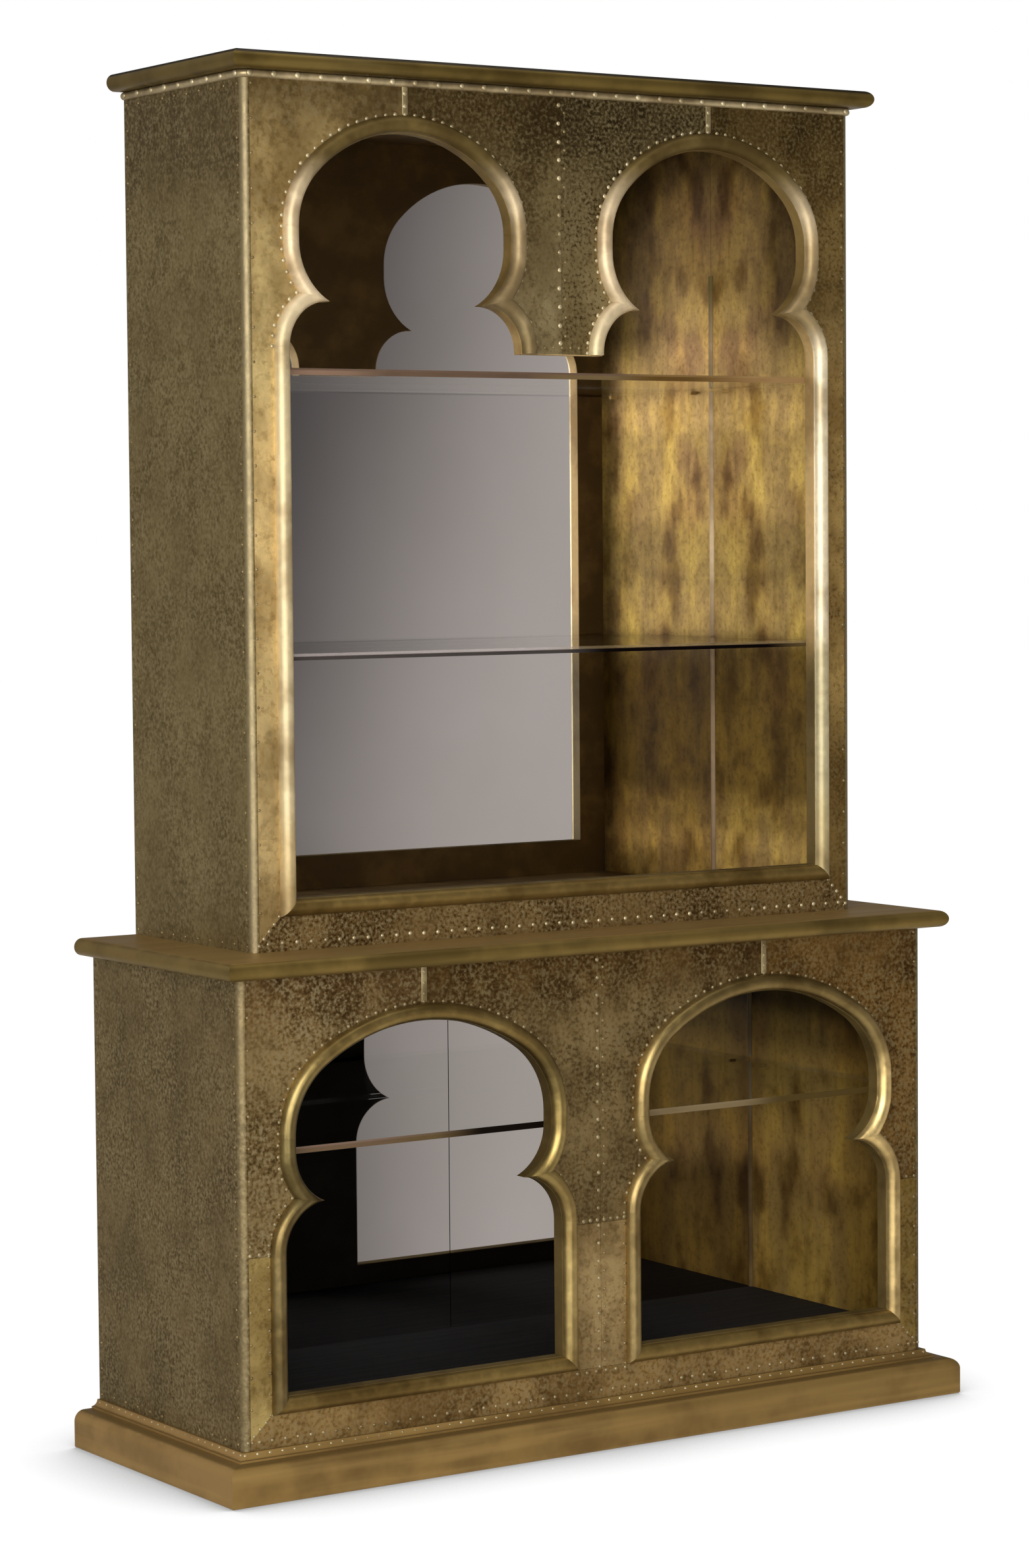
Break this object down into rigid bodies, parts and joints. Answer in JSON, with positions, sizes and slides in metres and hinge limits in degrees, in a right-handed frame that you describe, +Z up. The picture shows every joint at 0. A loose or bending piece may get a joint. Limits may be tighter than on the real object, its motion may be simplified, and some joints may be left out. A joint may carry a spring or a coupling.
{
  "type": "display bookcase",
  "caption": "Open display bookcase with keyhole arches: a mirror-backed hutch with glass shelves on a deeper base, clad in hammered brass sheet.",
  "frame": {"origin": "middle of the footprint on the floor, half way between the plinth's front and the back", "axes": "+X to the right as seen from the front, +Y towards the back, +Z up"},
  "size_m": [1.375, 0.5, 2.134],
  "materials": {
    "brass_sheet": "antique brass sheet, finely hammered, satin, darkened in patches",
    "brass_moulding": "antique brass sheet formed over the moulding, satin, worn bright on its edges",
    "brass_lip": "pale polished brass half-round, soft gloss",
    "patina_lining": "brass sheet with a mottled brown patina, satin",
    "black_board": "timber board painted matt black",
    "timber": "plain timber board under brass sheet",
    "mirror": "silvered mirror glass",
    "glass": "clear float glass with green polished edges",
    "steel": "plain steel"
  },
  "bodies": {
    "root": {"base_side_left": "timber", "base_side_right": "timber", "base_front_panel": "black_board", "base_deck": "black_board", "base_ceiling": "black_board", "base_back_panel": "black_board", "base_mirror_left": "mirror", "base_mirror_right": "mirror", "base_shelf": "glass", "base_shelf_pins": "steel", "base_side_sheet_left": "brass_sheet", "base_side_sheet_right": "brass_sheet", "base_sheet_left": "brass_sheet", "base_sheet_mid_left": "brass_sheet", "base_sheet_mid_right": "brass_sheet", "base_sheet_right": "brass_sheet", "base_stile_sheet_left": "brass_sheet", "base_stile_sheet_right": "brass_sheet", "base_column_sheets": "brass_sheet", "base_sill_sheets": "brass_sheet", "base_lining_left": "patina_lining", "base_lining_right": "patina_lining", "base_reveal_left": "brass_sheet", "base_reveal_right": "brass_sheet", "base_arch_lip_left": "brass_lip", "base_arch_lip_right": "brass_lip", "base_sill_lip_left": "brass_lip", "base_sill_lip_right": "brass_lip", "plinth_front": "brass_moulding", "plinth_left": "brass_moulding", "plinth_right": "brass_moulding", "mid_slab": "brass_moulding", "hutch_side_left": "timber", "hutch_side_right": "timber", "hutch_front_panel": "black_board", "hutch_deck": "black_board", "hutch_ceiling": "black_board", "hutch_back_panel": "black_board", "hutch_mirror": "mirror", "hutch_shelf_upper": "glass", "hutch_shelf_lower": "glass", "hutch_shelf_pins": "steel", "hutch_side_sheet_left": "brass_sheet", "hutch_side_sheet_right": "brass_sheet", "hutch_sheet_left": "brass_sheet", "hutch_sheet_mid_left": "brass_sheet", "hutch_sheet_mid_right": "brass_sheet", "hutch_sheet_right": "brass_sheet", "hutch_sill_sheet": "brass_sheet", "hutch_lining_left": "patina_lining", "hutch_lining_right": "patina_lining", "hutch_reveal": "brass_sheet", "hutch_arch_lip_left": "brass_lip", "hutch_arch_lip_right": "brass_lip", "hutch_sill_lip": "brass_lip", "top_bead": "brass_lip", "top_slab": "brass_moulding", "joining_bolts": "steel"}
  },
  "joints": []
}
